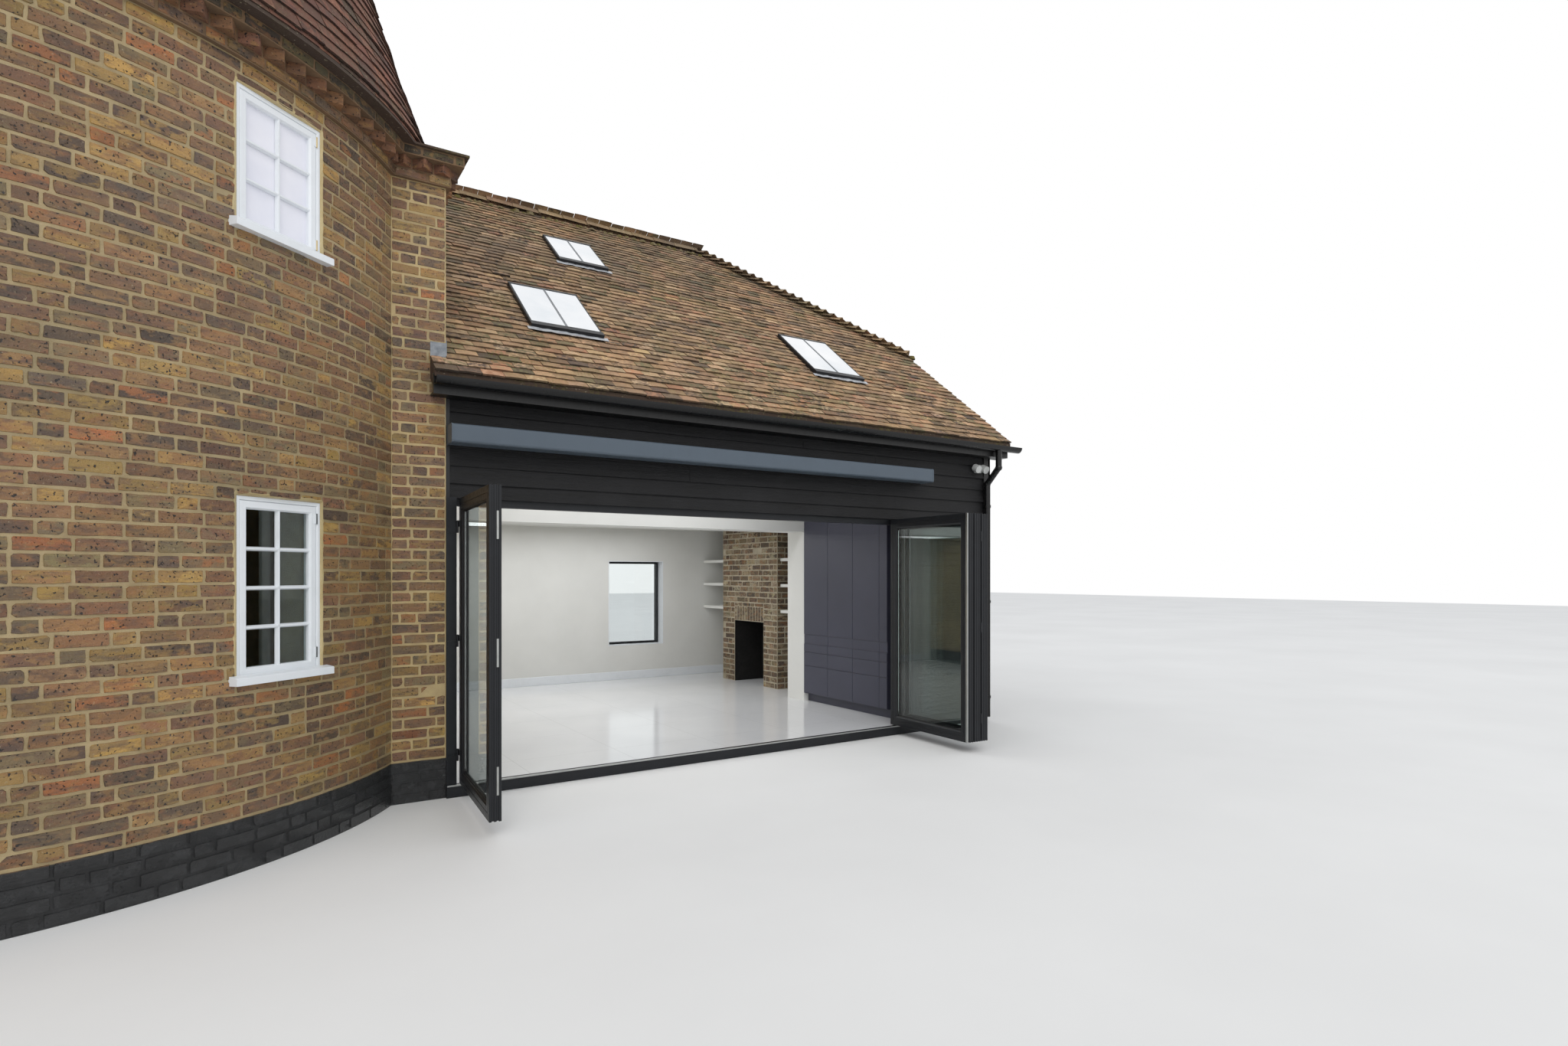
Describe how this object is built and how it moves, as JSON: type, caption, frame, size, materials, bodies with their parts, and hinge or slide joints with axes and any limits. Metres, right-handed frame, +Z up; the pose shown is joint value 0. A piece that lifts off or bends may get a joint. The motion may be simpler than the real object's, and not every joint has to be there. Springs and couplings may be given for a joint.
{
  "type": "oast house",
  "caption": "Round brick hop kiln with a tall conical tiled roof and a turning white cowl, joined to a black boarded, tiled wing with folding glass doors",
  "frame": {"origin": "on the ground at the centre of the roundel, on the underside of its floor slab", "axes": "+X to the right along the front of the wing, +Y into the building, +Z up"},
  "size_m": [12.224, 7.4488, 14.105],
  "materials": {
    "brick": "weathered stock brick with pale lime mortar",
    "floor_slab": "smooth pale floor",
    "timber_floor": "planed boards",
    "white_timber": "white gloss paint",
    "white_plaster": "matt white paint on plaster",
    "window_glass": "clear",
    "red_tile": "hand-made plain clay tile, weathered",
    "brown_tile": "hand-made plain clay tile, mottled and mossy",
    "dark_metal": "satin powder coat",
    "oak": "weathered",
    "black_boards": "black paint on feather-edge boards",
    "navy_paint": "satin paint",
    "black_trim": "black gloss paint",
    "black_plastic": "gloss",
    "grey_cassette": "satin powder coat",
    "light_fitting": "matt",
    "lead": "dull grey lead"
  },
  "bodies": {
    "house": {"roundel_wall_front": "brick", "roundel_wall_front_left": "brick", "roundel_wall_left": "brick", "roundel_wall_back_left": "brick", "roundel_wall_back": "brick", "roundel_wall_doorway_front": "brick", "roundel_wall_doorway_back": "brick", "roundel_wall_over_doorway": "brick", "roundel_floor": "floor_slab", "roundel_upper_floor": "timber_floor", "roundel_windows": "white_timber", "roundel_window_glass": "window_glass", "cornice": "brick", "cone_roof": "red_tile", "cowl_curb": "dark_metal", "pier": "brick", "pier_cap": "brown_tile", "party_wall": "brick", "front_wall_over_doors": "black_boards", "front_wall_right": "black_boards", "right_wall": "black_boards", "rear_wall": "black_boards", "wing_floor": "floor_slab", "wing_upper_floor": "timber_floor", "portal": "white_plaster", "chimney_breast": "brick", "alcove_shelves": "white_timber", "fitted_cupboards": "navy_paint", "roof_front_slope": "brown_tile", "roof_rear_slope": "brown_tile", "roof_half_hip": "brown_tile", "ridge_tiles": "brown_tile", "rooflight_frames": "dark_metal", "rooflight_glass": "window_glass", "fascia_and_soffit": "black_trim", "gutters": "black_plastic", "downpipes": "black_plastic", "awning_cassette": "grey_cassette", "security_light": "light_fitting", "lead_flashing": "lead", "door_frame": "dark_metal", "folded_leaves": "dark_metal", "folded_leaf_glass": "window_glass", "rear_window": "dark_metal", "rear_window_glass": "window_glass"},
    "cowl": {"cowl_post": "oak", "cowl_shell": "white_timber", "cowl_top_ring": "dark_metal", "wind_vane": "white_timber"},
    "single_leaf": {"access_leaf": "dark_metal", "access_leaf_glass": "window_glass"}
  },
  "joints": [
    {"name": "cowl_turn", "type": "hinge", "parent": "house", "child": "cowl", "pos_m": [0, 0, 12], "axis": [0, 0, 1], "continuous": true},
    {"name": "leaf_hinge", "type": "hinge", "parent": "house", "child": "single_leaf", "pos_m": [3.038, -1.462, 1.1], "axis": [0, 0, 1], "range_deg": [0, 93.5]}
  ]
}
